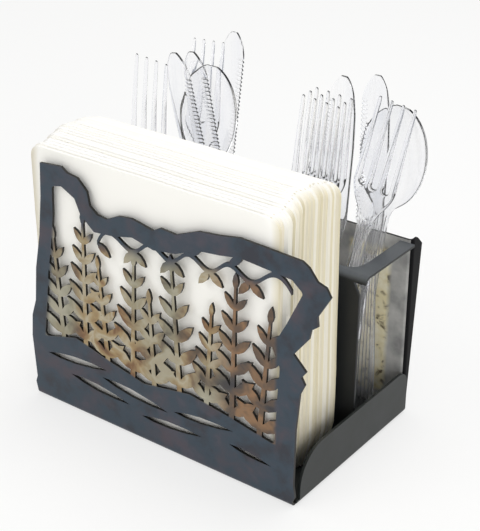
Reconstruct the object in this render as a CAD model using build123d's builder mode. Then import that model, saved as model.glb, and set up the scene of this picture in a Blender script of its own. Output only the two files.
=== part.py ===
# Cutlery and napkin holder, folded from sheet steel, with its napkins and clear plastic cutlery.
# Millimetres. X runs along the front, Y from front to back, Z up.
# The origin is the middle of the tray's underside.
import os
from math import cos, pi, radians, sin

from build123d import *

os.makedirs("parts", exist_ok=True)

# Sheet steel
sheet = 1.5
bend_inside = 1.5
fit_gap = 0.2
overrun = 5.0

# Tray: floor and side flanges
tray_width = 178.0
tray_depth = 108.0
flange_height = 28.0
flange_front_setback = 5.0
flange_front_round = 20.0
flange_rear_round = 9.0

# Front panel: its reach to each side of the middle, its height and the rounding of its window
panel_left = 88.5
panel_right = 106.0
panel_height = 146.5
window_round = 2.0

# Leaf sprays, vine and ground slits cut into the front panel
stem_foot = 3.4
stem_tip = 1.2
leaf_angle = 52.0
vine_width = 2.4
vine_swing = 3.2
vine_waves = 5
vine_leaf = 10.5

# Cutlery rack: deck, divider and back wall
deck_height = 104.0
deck_bend = 4.0
deck_side_strip = 9.0
deck_front_strip = 5.5
deck_bridge = 12.0
deck_opening_round = 9.0
rack_depth = 49.5
divider_inset = 3.5
divider_relief = 3.5
divider_chamfer = 6.5
wall_rise = 1.5
return_top = 9.2
return_foot = 2.6
return_chamfer = 5.0

# Napkins
napkin_width = 160.0
napkin_height = 151.0
napkin_shift = 4.0
napkin_pitch = 3.18
napkin_gap = 0.3
napkin_count = 16
napkin_front_gap = 1.5
napkin_stray = 2.0
napkin_crown = 6.0
napkin_stray_shares = (0.382, 0.618)

# Cutlery
rest_gap = 0.3
handle_width = 14.0
neck_width = 7.6
fork_length = 187.0
fork_head_width = 25.0
fork_slot = 3.0
fork_tines = 4
fork_tine_length = 46.0
fork_tip_round = 1.2
fork_thickness = 1.7
fork_bow = 2.4
knife_length = 192.0
knife_blade_width = 17.0
knife_blade_length = 92.0
knife_thickness = 2.0
knife_tooth = 0.8
knife_tooth_pitch = 3.2
spoon_length = 178.0
spoon_bowl_width = 38.0
spoon_bowl_length = 56.0
spoon_bowl_depth = 7.5
spoon_thickness = 1.7

# Places worked out from the sizes above
half_width = tray_width / 2
half_depth = tray_depth / 2
bend_outside = bend_inside + sheet
wall_front = half_depth - sheet
wall_height = deck_height + wall_rise
divider_front = half_depth - rack_depth
divider_rear = divider_front + sheet
opening_front = divider_front + deck_front_strip
opening_outer = half_width - deck_side_strip
opening_inner = deck_bridge / 2


def folded_strip(outer_points, inner_points, outer_radius):
    """Closes a bent strip of sheet between its outer and its inner line."""
    outer = FilletPolyline(*outer_points, radius=outer_radius)
    inner = FilletPolyline(*inner_points, radius=outer_radius - sheet)
    Line(outer @ 0, inner @ 0)
    Line(outer @ 1, inner @ 1)


# Tray: a floor whose sides are folded up, with rounded flange ends
with BuildPart() as tray:
    inner_half = half_width - sheet
    with BuildSketch(Plane.XZ):
        with BuildLine():
            folded_strip(
                [
                    (-half_width, flange_height), (-half_width, 0),
                    (half_width, 0), (half_width, flange_height),
                ],
                [
                    (-inner_half, flange_height), (-inner_half, sheet),
                    (inner_half, sheet), (inner_half, flange_height),
                ],
                bend_outside,
            )
        make_face()
    extrude(amount=half_depth, both=True)
    flange_front = -half_depth + flange_front_setback
    floor_front = -half_depth + bend_outside
    with BuildSketch(Plane.YZ):
        with BuildLine():
            flange_line = FilletPolyline(
                (flange_front, bend_outside), (flange_front, flange_height), (half_depth, flange_height),
                (half_depth, 0), radius=[flange_front_round, flange_rear_round],
            )
            Polyline(
                flange_line @ 1, (floor_front, 0), (floor_front, bend_outside), flange_line @ 0,
            )
        make_face()
    extrude(amount=half_width + overrun, both=True, mode=Mode.INTERSECT)
tray.part.label = "tray"
export_step(tray.part, "parts/tray.step")

# Front panel outline, as shares of its reach to each side and of its height
outline_shares = [
    (0.84, 0.045), (0.83, 0.085), (0.835, 0.31), (0.855, 0.46), (0.88, 0.50), (0.86, 0.525),
    (0.885, 0.55), (0.815, 0.60), (0.895, 0.675), (0.905, 0.71), (0.94, 0.73), (0.935, 0.765),
    (1.0, 0.845), (0.975, 0.875), (0.93, 0.885), (0.885, 0.925), (0.85, 0.94), (0.52, 0.95),
    (0.41, 0.935), (0.29, 0.925), (0.155, 0.885), (0.065, 0.89), (0.02, 0.872), (-0.13, 0.89),
    (-0.23, 0.882), (-0.32, 0.855), (-0.39, 0.86), (-0.445, 0.885), (-0.46, 0.935), (-0.53, 0.976),
    (-0.61, 0.982), (-0.65, 1.0), (-0.82, 0.99), (-0.835, 0.86), (-0.87, 0.70), (-0.92, 0.56),
    (-0.945, 0.42), (-0.985, 0.35), (-1.0, 0.26), (-0.985, 0.08), (-1.0, 0.055),
]
# The window in the panel, from its lower right corner and round over the top to the rolling ground
window_shares = [
    (0.72, 0.225), (0.735, 0.45), (0.745, 0.53), (0.70, 0.60), (0.775, 0.70), (0.86, 0.83),
    (0.80, 0.865), (0.52, 0.88), (0.41, 0.865), (0.29, 0.855), (0.155, 0.815), (0.02, 0.80),
    (-0.13, 0.82), (-0.27, 0.80), (-0.42, 0.79), (-0.52, 0.84), (-0.56, 0.895), (-0.66, 0.925),
    (-0.735, 0.915), (-0.745, 0.80), (-0.775, 0.68), (-0.82, 0.55), (-0.85, 0.41), (-0.885, 0.28),
    (-0.62, 0.325), (-0.36, 0.285), (-0.08, 0.25), (0.22, 0.285), (0.46, 0.26),
]
# Leaf sprays: foot across, foot height, top height; then pairs of leaves and lean in degrees
spray_shares = [
    (-0.72, 0.28, 0.74), (-0.54, 0.29, 0.84), (-0.36, 0.26, 0.68), (-0.17, 0.24, 0.75), (0.0, 0.23, 0.62),
    (0.16, 0.25, 0.78), (0.32, 0.25, 0.66), (0.47, 0.23, 0.80), (0.63, 0.21, 0.72),
]
spray_pair_counts = [5, 6, 5, 5, 4, 5, 5, 6, 5]
spray_leans = [3, -2, 4, -3, 2, 3, -4, -2, -5]
leaf_edge_shares = [(0.2, 0.72), (0.45, 1.0), (0.75, 0.7)]
leaf_slim_share = 0.36
leaf_length_share = 1.6
leaf_shrink_share = 0.55
leaf_start_share = 0.55
tip_leaf_share = 0.8
leaf_lift_share = 0.3
# Vine below the top edge: both ends across, its height at its start and what it climbs
vine_span_shares = (-0.40, 0.80)
vine_height_share = 0.775
vine_climb_share = 0.065
vine_leaf_slim_share = 0.42
vine_leaf_angle = 38.0
# Slits that draw the rolling ground: middle across, height and length of each; then tilts in degrees
slit_shares = [
    (-0.62, 0.225, 0.50), (-0.16, 0.185, 0.52), (0.30, 0.195, 0.44), (0.58, 0.14, 0.30),
    (-0.44, 0.145, 0.48), (0.10, 0.118, 0.46),
]
slit_tilts = [5, -6, 5, -6, -5, 4]
slit_slim_share = 0.10


def panel_point(across_share, height_share):
    """A point of the front panel from its shares."""
    reach = panel_right if across_share > 0 else panel_left
    return (across_share * reach, height_share * panel_height)


def leaf_face(length, slim_share):
    """A pointed leaf of straight cuts along +X, with its stalk at the origin."""
    belly = length * slim_share / 2
    upper = [(share[0] * length, share[1] * belly) for share in leaf_edge_shares]
    lower = [(x, -y) for x, y in reversed(upper)]
    with BuildSketch(mode=Mode.PRIVATE) as leaf:
        with BuildLine():
            Polyline((0, 0), *upper, (length, 0), *lower, close=True)
        make_face()
    return leaf.sketch.face()


def spray_faces(foot, height, pairs, lean):
    """A stem with opposite leaves that get smaller towards its tip."""
    step = height / (pairs + 1)
    with BuildSketch(mode=Mode.PRIVATE) as stem:
        with BuildLine():
            Polyline(
                (-stem_foot / 2, -stem_foot), (stem_foot / 2, -stem_foot), (stem_tip / 2, height),
                (-stem_tip / 2, height), close=True,
            )
        make_face()
    faces = [stem.sketch.face()]
    for pair in range(pairs):
        along_share = pair / pairs
        leaf = leaf_face(step * leaf_length_share * (1 - leaf_shrink_share * along_share), leaf_slim_share)
        spread = leaf_angle * (1 - leaf_lift_share * along_share)
        stalk = (0, step * (pair + leaf_start_share))
        faces += [leaf.moved(Location(stalk, 90 + side * spread)) for side in (-1, 1)]
    tip_leaf = leaf_face(step * tip_leaf_share, leaf_slim_share)
    faces.append(tip_leaf.moved(Location((0, height - step / 2), 90)))
    return [face.moved(Location(foot, lean)) for face in faces]


def vine_faces():
    """A wavy strip that touches the panel's top edge at its crests, with a leaf at every half wave."""
    start = panel_point(vine_span_shares[0], vine_height_share)
    end = panel_point(vine_span_shares[1], vine_height_share + vine_climb_share)
    half_waves = 2 * vine_waves
    knots = []
    for knot in range(half_waves + 1):
        along_share = knot / half_waves
        swing = vine_swing if knot % 2 else -vine_swing
        height = start[1] + (end[1] - start[1]) * along_share + swing
        knots.append((start[0] + (end[0] - start[0]) * along_share, height))
    with BuildSketch(mode=Mode.PRIVATE) as strip:
        with BuildLine():
            upper = Spline(*[(x, z + vine_width / 2) for x, z in knots])
            lower = Spline(*[(x, z - vine_width / 2) for x, z in knots])
            Line(upper @ 0, lower @ 0)
            Line(upper @ 1, lower @ 1)
        make_face()
    leaf = leaf_face(vine_leaf, vine_leaf_slim_share)
    faces = [strip.sketch.face()]
    for number, knot in enumerate(knots[:-1]):
        angle = vine_leaf_angle if number % 2 else -vine_leaf_angle
        faces.append(leaf.moved(Location(knot, angle)))
        if number and not number % 2:
            faces.append(leaf.moved(Location(knot, angle - 90)))
    return faces


# Front panel: a pierced sheet with a bend at its foot that runs into the tray's floor
with BuildPart() as front_panel:
    with BuildSketch(Plane.XZ.offset(half_depth)) as cutting:
        foot_points = [(-half_width + sheet, bend_outside), (half_width - sheet, bend_outside)]
        with BuildLine():
            Polyline(*foot_points, *[panel_point(*share) for share in outline_shares], close=True)
        make_face()
        with BuildLine():
            window_points = [panel_point(*share) for share in window_shares]
            FilletPolyline(*window_points, radius=window_round, close=True)
        make_face(mode=Mode.SUBTRACT)
        slits = []
        for share, tilt in zip(slit_shares, slit_tilts):
            middle = panel_point(share[0], share[1])
            slit = leaf_face(share[2] * panel_left, slit_slim_share)
            slits.append(slit.moved(Location((-share[2] * panel_left / 2, 0))).moved(Location(middle, tilt)))
        add(slits, mode=Mode.SUBTRACT)
        motifs = vine_faces()
        for share, pairs, lean in zip(spray_shares, spray_pair_counts, spray_leans):
            foot = panel_point(share[0], share[1])
            motifs += spray_faces(foot, (share[2] - share[1]) * panel_height, pairs, lean)
        add(motifs)
    extrude(amount=-sheet)
    with BuildSketch(Plane.YZ):
        with BuildLine():
            bend_middle = (-half_depth + bend_outside, bend_outside)
            outer_arc = CenterArc(bend_middle, bend_outside, 180, 90)
            inner_arc = CenterArc(bend_middle, bend_inside, 180, 90)
            Line(outer_arc @ 0, inner_arc @ 0)
            Line(outer_arc @ 1, inner_arc @ 1)
        make_face()
    extrude(amount=half_width - sheet, both=True)
front_panel.part.label = "front_panel"
export_step(front_panel.part, "parts/front_panel.step")

# Cutlery deck: a flat plate with two openings, folded down at its front into the divider
with BuildPart() as cutlery_deck:
    with BuildSketch(Plane.YZ):
        with BuildLine():
            folded_strip(
                [(divider_front, sheet), (divider_front, deck_height), (wall_front, deck_height)],
                [
                    (divider_rear, sheet), (divider_rear, deck_height - sheet),
                    (wall_front, deck_height - sheet),
                ],
                deck_bend,
            )
        make_face()
    extrude(amount=half_width, both=True)
    with BuildSketch(Plane.XY.offset(deck_height)):
        for side in (-1, 1):
            with BuildLine():
                opening_line = FilletPolyline(
                    (side * opening_inner, wall_front + overrun), (side * opening_inner, opening_front),
                    (side * opening_outer, opening_front), (side * opening_outer, wall_front + overrun),
                    radius=deck_opening_round,
                )
                Line(opening_line @ 0, opening_line @ 1)
            make_face()
    extrude(amount=-(sheet + overrun), mode=Mode.SUBTRACT)
    divider_half = half_width - divider_inset
    relief_height = deck_height - deck_bend
    with BuildSketch(Plane.XZ.offset(-divider_front)):
        for side in (-1, 1):
            with BuildLine():
                Polyline(
                    (side * (divider_half - divider_relief), relief_height),
                    (side * divider_half, relief_height - divider_chamfer),
                    (side * divider_half, -overrun),
                    (side * (half_width + overrun), -overrun),
                    (side * (half_width + overrun), relief_height),
                    close=True,
                )
            make_face()
    extrude(amount=deck_front_strip, both=True, mode=Mode.SUBTRACT)
cutlery_deck.part.label = "cutlery_deck"
export_step(cutlery_deck.part, "parts/cutlery_deck.step")

# Back wall: an upright sheet between the flanges, with tapered returns bent backwards along its sides
with BuildPart() as back_wall:
    wall_half = half_width - sheet - fit_gap
    return_rear = half_depth + return_top
    with BuildSketch(Plane.XY.offset(sheet)):
        with BuildLine():
            folded_strip(
                [
                    (-wall_half, return_rear), (-wall_half, wall_front),
                    (wall_half, wall_front), (wall_half, return_rear),
                ],
                [
                    (-wall_half + sheet, return_rear), (-wall_half + sheet, half_depth),
                    (wall_half - sheet, half_depth), (wall_half - sheet, return_rear),
                ],
                bend_outside,
            )
        make_face()
    extrude(amount=wall_height - sheet)
    with BuildSketch(Plane.YZ):
        with BuildLine():
            Polyline(
                (wall_front, sheet), (half_depth + return_foot, sheet),
                (return_rear, wall_height - return_chamfer), (return_rear - return_chamfer, wall_height),
                (wall_front, wall_height), close=True,
            )
        make_face()
    extrude(amount=half_width, both=True, mode=Mode.INTERSECT)
    with BuildSketch(Plane.XZ.offset(-half_depth)):
        for side in (-1, 1):
            with BuildLine():
                Polyline(
                    (side * (wall_half - bend_inside), sheet), (side * wall_half, sheet),
                    (side * wall_half, bend_outside), close=True,
                )
            make_face()
    extrude(amount=rack_depth, both=True, mode=Mode.SUBTRACT)
back_wall.part.label = "back_wall"
export_step(back_wall.part, "parts/back_wall.step")

# Centre partition: a plate between the divider and the back wall, under the deck's bridge
with BuildPart() as centre_partition:
    with BuildSketch(Plane.YZ):
        with BuildLine():
            Polyline(
                (divider_rear, sheet), (wall_front, sheet), (wall_front, deck_height - sheet),
                (divider_rear + deck_bend, deck_height - sheet),
                (divider_rear, deck_height - sheet - deck_bend), close=True,
            )
        make_face()
    extrude(amount=sheet / 2, both=True)
centre_partition.part.label = "centre_partition"
export_step(centre_partition.part, "parts/centre_partition.step")

# Napkins: folded sheets side by side, each a little out of line with the next, tallest in the middle
napkin_front = -half_depth + sheet + napkin_front_gap
napkin_foot = sheet + rest_gap
with BuildPart() as napkin_stack:
    for number in range(napkin_count):
        along_share = (number + 1 / 2) / napkin_count
        sideways = napkin_stray * sin(2 * pi * number * napkin_stray_shares[0]) - napkin_shift
        stray = napkin_stray * sin(2 * pi * number * napkin_stray_shares[1])
        height = napkin_height + napkin_crown * sin(pi * along_share) + stray
        with BuildSketch(Plane.XZ.offset(-napkin_front - number * napkin_pitch)):
            with Locations((sideways, napkin_foot + height / 2)):
                Rectangle(napkin_width, height)
        extrude(amount=-(napkin_pitch - napkin_gap))
napkin_stack.part.label = "napkin_stack"
export_step(napkin_stack.part, "parts/napkin_stack.step")

# Where each piece of cutlery stands: its side, across its compartment from the bridge, back from the divider
cutlery_shares = {
    "fork_1": (-1, 0.851, 0.323),
    "knife_1": (-1, 0.088, 0.602),
    "knife_2": (-1, 0.081, 0.710),
    "spoon_1": (-1, 0.446, 0.40),
    "fork_2": (-1, 0.48, 0.53),
    "knife_3": (-1, 0.46, 0.64),
    "fork_3": (1, 0.703, 0.129),
    "fork_4": (1, 0.432, 0.292),
    "fork_5": (1, 0.459, 0.411),
    "fork_6": (1, 0.473, 0.529),
    "knife_4": (1, 0.527, 0.645),
    "knife_5": (1, 0.878, 0.645),
    "spoon_2": (1, 0.703, 0.806),
}
# How far each piece leans back and to the right, in degrees; below zero it leans forward or to the left
cutlery_leans = {
    "fork_1": (-3.7, 5.5), "knife_1": (-5, -9.5), "knife_2": (-5.2, -7), "spoon_1": (6, 1.2),
    "fork_2": (8.5, -3), "knife_3": (9, 0.6), "fork_3": (7.3, 8), "fork_4": (-3.3, 5.4),
    "fork_5": (-3.1, 4.7), "fork_6": (-2.9, 4.3), "knife_4": (-0.9, 3.2), "knife_5": (2.5, -1),
    "spoon_2": (2, 7),
}
# These knives stand with the cutting edge to the right, the others to the left
knives_turned = ("knife_1", "knife_2", "knife_3")


def cutlery_axis(name):
    """The direction in which a piece points up, and the direction that it faces."""
    lean, roll = [radians(angle) for angle in cutlery_leans[name]]
    axis = Vector(sin(roll), cos(roll) * sin(lean), cos(roll) * cos(lean))
    facing = Vector(0, -cos(lean), sin(lean))
    return axis, facing


def cutlery_planes(name, thickness):
    """The front and the side plane of a piece, at the middle of its handle's round end."""
    side, across_share, back_share = cutlery_shares[name]
    axis, facing = cutlery_axis(name)
    across = side * (opening_inner + across_share * (opening_outer - opening_inner))
    back = divider_rear + back_share * (wall_front - divider_rear)
    foot = sheet + rest_gap + handle_width / 2 + thickness / 2 * abs(facing.Z)
    front_plane = Plane(origin=(across, back, foot), x_dir=axis.cross(facing), z_dir=facing)
    side_plane = Plane(origin=(across, back, foot), x_dir=facing, z_dir=facing.cross(axis))
    return front_plane, side_plane


# Half widths of a handle from its round end to its neck, as shares of the handle's width and length
handle_half_shares = [(0.5, 0.0), (0.485, 0.15), (0.42, 0.4), (0.33, 0.68)]
fork_shoulder_shares = [(0.20, -1.05), (0.34, -0.75), (0.44, -0.35), (0.49, 0.05)]
fork_bow_shares = [
    (0.0, 0.0), (0.0, 0.35), (0.25, 0.56), (0.1, 0.74), (-0.35, 0.88), (-1.1, 1.0),
]
fork_tip_share = 0.94


def handle_points(length):
    """The right edge of a handle up to its neck."""
    edge = [(share[0] * handle_width, share[1] * length) for share in handle_half_shares]
    return edge + [(neck_width / 2, length)]


def mirrored_outline(edge):
    """A right edge with its mirror image and a round end below."""
    right = Polyline(*edge)
    left = Polyline(*[(-x, y) for x, y in edge])
    RadiusArc(right @ 0, left @ 0, handle_width / 2)
    return right, left


def make_fork(name):
    front_plane, side_plane = cutlery_planes(name, fork_thickness)
    top = fork_length - handle_width / 2
    tine_root = top - fork_tine_length
    neck = tine_root - fork_head_width
    head_half = fork_head_width / 2
    tine_step = (fork_head_width + fork_slot) / fork_tines
    with BuildPart() as fork:
        with BuildSketch(front_plane) as front:
            with BuildLine():
                shoulder = [
                    (share[0] * fork_head_width, tine_root + share[1] * head_half)
                    for share in fork_shoulder_shares
                ]
                right, left = mirrored_outline(
                    handle_points(neck) + shoulder + [(head_half, tine_root + head_half / 2)]
                )
                tip = (head_half * fork_tip_share, top)
                Line(right @ 1, tip)
                Line(tip, (-tip[0], tip[1]))
                Line((-tip[0], tip[1]), left @ 1)
            make_face()
            slot_length = fork_tine_length + overrun
            slot_steps = [slot - fork_tines / 2 for slot in range(1, fork_tines)]
            with Locations(*[(step * tine_step, tine_root + slot_length / 2) for step in slot_steps]):
                SlotOverall(slot_length, fork_slot, rotation=90, mode=Mode.SUBTRACT)
            fillet(front.vertices().group_by(Axis.Y)[-1], fork_tip_round)
        extrude(amount=fork_length / 2, both=True)
        with BuildSketch(side_plane):
            with BuildLine():
                bow = [(share[0] * fork_bow, share[1] * top) for share in fork_bow_shares]
                bow = [(bow[0][0], -handle_width)] + bow[1:-1] + [(bow[-1][0], top + overrun)]
                near = Polyline(*[(v + fork_thickness / 2, y) for v, y in bow])
                far = Polyline(*[(v - fork_thickness / 2, y) for v, y in bow])
                Line(near @ 0, far @ 0)
                Line(near @ 1, far @ 1)
            make_face()
        extrude(amount=fork_head_width, both=True, mode=Mode.INTERSECT)
    return fork.part


# A knife's blade: its back edge and its cutting edge, as shares of the blade's width and length
blade_back_shares = [(0.33, 0.06), (0.42, 0.14), (0.45, 0.60), (0.41, 0.80), (0.30, 0.92), (0.12, 0.985)]
blade_tip_share = 0.10
blade_edge_share = 0.55
tooth_start_share = 0.16
tooth_end_share = 0.86


def make_knife(name):
    front_plane, _ = cutlery_planes(name, knife_thickness)
    if name in knives_turned:
        front_plane = Plane(origin=front_plane.origin, x_dir=-front_plane.x_dir, z_dir=-front_plane.z_dir)
    top = knife_length - handle_width / 2
    heel = top - knife_blade_length
    edge_across = -blade_edge_share * knife_blade_width
    with BuildPart() as knife:
        with BuildSketch(front_plane):
            with BuildLine():
                edge = handle_points(heel)
                blade_size = (knife_blade_width, knife_blade_length)
                back = [(s[0] * blade_size[0], heel + s[1] * blade_size[1]) for s in blade_back_shares]
                tip = (-blade_tip_share * knife_blade_width, top)
                right = Polyline(*edge, *back, tip)
                left = Polyline(*[(-x, y) for x, y in edge])
                RadiusArc(right @ 0, left @ 0, handle_width / 2)
                tooth_start = heel + tooth_start_share * knife_blade_length
                tooth_end = heel + tooth_end_share * knife_blade_length
                teeth = int((tooth_end - tooth_start) / knife_tooth_pitch)
                saw = [left @ 1, (edge_across, tooth_start)]
                for tooth in range(teeth):
                    base = tooth_start + tooth * knife_tooth_pitch
                    saw += [(edge_across + knife_tooth, base + knife_tooth_pitch / 2),
                            (edge_across, base + knife_tooth_pitch)]
                cut = Polyline(*saw)
                ThreePointArc(cut @ 1, ((edge_across + tip[0] * 2) / 2, (tooth_end + top * 2) / 3), tip)
            make_face()
        extrude(amount=knife_thickness / 2, both=True)
    return knife.part


# A spoon's bowl from its rim down: shares of its width and length, and of its depth
bowl_level_shares = [(1.0, 0.0), (0.88, 0.45), (0.62, 0.82), (0.3, 1.0)]
bowl_side_count = 20


def bowl_points(rim_plane, middle):
    """The corners of a bowl's filled shape below a plane, on ellipses that get smaller with depth."""
    points = []
    for width_share, depth_share in bowl_level_shares:
        half_across = spoon_bowl_width * width_share / 2
        half_along = spoon_bowl_length * width_share / 2
        for side in range(bowl_side_count):
            turn = 2 * pi * side / bowl_side_count
            across = half_across * cos(turn)
            along = middle + half_along * sin(turn)
            corner = Vector(across, along, -depth_share * spoon_bowl_depth)
            points.append(rim_plane.from_local_coords(corner))
    return points


def make_spoon(name):
    front_plane, _ = cutlery_planes(name, spoon_thickness)
    bowl_middle = spoon_length - handle_width / 2 - spoon_bowl_length / 2
    with BuildPart() as spoon:
        ConvexPolyhedron(bowl_points(front_plane, bowl_middle))
        ConvexPolyhedron(bowl_points(front_plane.offset(spoon_thickness), bowl_middle), mode=Mode.SUBTRACT)
        with BuildSketch(front_plane):
            with BuildLine():
                right, left = mirrored_outline(
                    handle_points(bowl_middle - spoon_bowl_length / 2 + spoon_thickness)
                )
                Line(right @ 1, left @ 1)
            make_face()
        extrude(amount=spoon_thickness / 2, both=True)
    return spoon.part


makers = {"fork": make_fork, "knife": make_knife, "spoon": make_spoon}
for name in cutlery_shares:
    piece = makers[name.split("_")[0]](name)
    piece.label = name
    export_step(piece, f"parts/{name}.step")
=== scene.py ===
from math import cos, pi, radians, sin, sqrt

import bmesh
import bpy
from mathutils import Matrix, Vector


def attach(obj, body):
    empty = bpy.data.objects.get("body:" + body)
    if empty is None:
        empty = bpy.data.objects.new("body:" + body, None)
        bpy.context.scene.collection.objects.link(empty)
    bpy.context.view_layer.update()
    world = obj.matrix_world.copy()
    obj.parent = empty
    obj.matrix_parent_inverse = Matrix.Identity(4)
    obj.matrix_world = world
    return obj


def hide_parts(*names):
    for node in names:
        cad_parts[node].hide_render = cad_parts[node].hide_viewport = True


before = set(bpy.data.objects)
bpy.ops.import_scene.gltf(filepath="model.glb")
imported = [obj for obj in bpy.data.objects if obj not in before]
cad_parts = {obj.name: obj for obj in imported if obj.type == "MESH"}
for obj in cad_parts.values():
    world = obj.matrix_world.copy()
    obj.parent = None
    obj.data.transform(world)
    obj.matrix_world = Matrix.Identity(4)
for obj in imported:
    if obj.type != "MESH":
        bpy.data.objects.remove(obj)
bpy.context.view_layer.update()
mm = 0.001
scene = bpy.context.scene
print("frame loaded:", len(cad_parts), "nodes")


def hexColour(code):
    # sRGB hex to linear
    parts = [int(code[i:i + 2], 16) / 255 for i in (0, 2, 4)]
    linear = [p / 12.92 if p <= 0.04045 else ((p + 0.055) / 1.055) ** 2.4 for p in parts]
    return (*linear, 1.0)


def addNode(tree, kind, inputs=None, **settings):
    # one node with its settings; an input is a value or another node's socket
    node = tree.nodes.new(kind)
    for key, value in settings.items():
        setattr(node, key, value)
    for key, value in (inputs or {}).items():
        if isinstance(value, bpy.types.NodeSocket):
            tree.links.new(value, node.inputs[key])
        else:
            node.inputs[key].default_value = value
    return node


def newMaterial(name):
    material = bpy.data.materials.new(name)
    material.use_nodes = True
    material.node_tree.nodes.clear()
    return material, material.node_tree


def setRamp(ramp, stops):
    # colour stops of a Color Ramp as (place, hex)
    band = ramp.color_ramp
    while len(band.elements) < len(stops):
        band.elements.new(0.5)
    for element, (place, code) in zip(band.elements, stops):
        element.position = place
        element.color = hexColour(code)


def bakeModifiers(piece):
    # turns an object with modifiers into one with a plain mesh
    bpy.context.view_layer.update()
    graph = bpy.context.evaluated_depsgraph_get()
    mesh = bpy.data.meshes.new_from_object(piece.evaluated_get(graph), depsgraph=graph)
    mesh.name = piece.name
    old = piece.data
    piece.modifiers.clear()
    piece.data = mesh
    bpy.data.meshes.remove(old)
    return piece


# Camera, fitted to the holder's edges in the photograph
cameraPlan = {
    "place": (0.3782, -0.4850, 0.4002),
    "looks": (-0.5338, 0.7128, -0.4549),
    "focalPixels": 1298.2,
    "imageHeight": 531,
    "sensor": 36.0,
    "nearest": 0.01,
}
cameraData = bpy.data.cameras.new("photoCamera")
cameraData.sensor_width = cameraPlan["sensor"]
cameraData.lens = cameraPlan["focalPixels"] * cameraPlan["sensor"] / cameraPlan["imageHeight"]
cameraData.clip_start = cameraPlan["nearest"]
camera = bpy.data.objects.new("photoCamera", cameraData)
camera.location = cameraPlan["place"]
camera.rotation_mode = "QUATERNION"
camera.rotation_quaternion = Vector(cameraPlan["looks"]).to_track_quat("-Z", "Y")
scene.collection.objects.link(camera)
scene.camera = camera
print("camera placed")


# Powder-coated sheet steel: satin slate grey, with the coat's faint orange peel and cloudy handling marks
steelPlan = {
    "shades": [(0.32, "1D2121"), (0.72, "2B2E2C")], "cloud": 22 * mm, "cloudBand": (0.3, 0.7),
    "roughness": 0.46, "glossSwing": (-0.06, 0.08), "specular": 0.35,
    "peel": 0.9 * mm, "peelDepth": 0.05 * mm, "peelShow": 0.12,
}


def coatedSteel(name, plan):
    material, tree = newMaterial(name)
    place = addNode(tree, "ShaderNodeTexCoord").outputs["Object"]
    cloud = addNode(tree, "ShaderNodeTexNoise", {
        "Vector": place, "Scale": 1 / plan["cloud"], "Detail": 5.0, "Roughness": 0.6})
    peel = addNode(tree, "ShaderNodeTexNoise", {"Vector": place, "Scale": 1 / plan["peel"], "Detail": 2.0})
    shade = addNode(tree, "ShaderNodeValToRGB", {"Fac": cloud.outputs["Fac"]})
    setRamp(shade, plan["shades"])
    gloss = addNode(tree, "ShaderNodeMapRange", {
        "Value": cloud.outputs["Fac"], "From Min": plan["cloudBand"][0], "From Max": plan["cloudBand"][1],
        "To Min": plan["roughness"] + plan["glossSwing"][0],
        "To Max": plan["roughness"] + plan["glossSwing"][1]})
    bump = addNode(tree, "ShaderNodeBump", {
        "Height": peel.outputs["Fac"], "Strength": plan["peelShow"], "Distance": plan["peelDepth"]})
    surface = addNode(tree, "ShaderNodeBsdfPrincipled", {
        "Base Color": shade.outputs["Color"], "Roughness": gloss.outputs["Result"],
        "Normal": bump.outputs["Normal"], "Specular IOR Level": plan["specular"]})
    addNode(tree, "ShaderNodeOutputMaterial", {"Surface": surface.outputs["BSDF"]})
    return material, tree, surface, shade, place


coat = coatedSteel("powderCoatedSteel", steelPlan)[0]

# The deck's coat: painted top light, paler on its level top, and painted shade, darker where it drops
deckPlan = steelPlan | {
    "shades": [(0.32, "4A4E52"), (0.72, "5D6164")], "cloud": 14 * mm, "paintedDropShade": "202223", "topBand": (0.2, 0.8),
}
deckCoatPaintedTopLight, deckTree, deckSurface, deckShade = coatedSteel("deckSteelPaintedTopLight", deckPlan)[:4]
deckNormal = addNode(deckTree, "ShaderNodeSeparateXYZ", {
    "Vector": addNode(deckTree, "ShaderNodeTexCoord").outputs["Normal"]})
# painted top light: faces turned up take the paler shades, and all other faces take the darker painted shade
paintedTopLight = addNode(deckTree, "ShaderNodeMapRange", {
    "Value": deckNormal.outputs["Z"], "From Min": deckPlan["topBand"][0], "From Max": deckPlan["topBand"][1]})
deckColour = addNode(deckTree, "ShaderNodeMix", {
    "Factor": paintedTopLight.outputs["Result"], "A": hexColour(deckPlan["paintedDropShade"]), "B": deckShade.outputs["Color"]},
    data_type="RGBA")
deckTree.links.new(deckColour.outputs["Result"], deckSurface.inputs["Base Color"])

# The same coat on the pierced panel, rubbed back to warm heat tints over the leaf sprays; cut edges get
# painted shade
panelPlan = steelPlan | {
    "shades": [(0.36, "2C2F38"), (0.48, "303E4A"), (0.56, "373F4A"), (0.66, "45454F")],
    "cloud": 20 * mm, "roughness": 0.44, "rust": "4E4147", "rustBand": (0.5, 0.7), "rustMost": 0.6,
    "tintPatch": 17 * mm,
    "tints": [(0.28, "42342A"), (0.40, "765638"), (0.50, "9C8660"), (0.58, "B0A68E"), (0.70, "887046")],
    "greys": [(0.3, "4E4A42"), (0.5, "8A8672"), (0.7, "ACA896")],
    "greyPatch": 31 * mm, "greyStretch": (1.0, 0.0, 0.25), "greyBand": (0.42, 0.58),
    "browns": [(0.36, "2C2A32"), (0.48, "53382A"), (0.6, "84582F"), (0.7, "5A4638")],
    "brownRight": (34 * mm, 52 * mm), "brownMost": 0.8,
    "ground": [(-78.3, 41.0), (-54.9, 47.6), (-31.9, 41.8), (-7.1, 36.6), (23.3, 41.8), (48.8, 38.1),
               (76.3, 33.0)],
    "ceiling": [(-58.4, 135.0), (-46.0, 123.0), (-37.2, 115.7), (-11.5, 120.0), (2.1, 117.2), (30.7, 125.3),
                (84.8, 126.7)],
    "chart": 150.0, "tintFoot": (-0.5 * mm, 1 * mm), "tintTop": (-13 * mm, -4 * mm),
    "tintLeft": (-86.5 * mm, -82.5 * mm), "leftSlant": 0.171, "tintRight": (75 * mm, 78 * mm),
    "shadedCutEdge": "14120F", "edgeBand": (0.35, 0.75),
}
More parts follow.
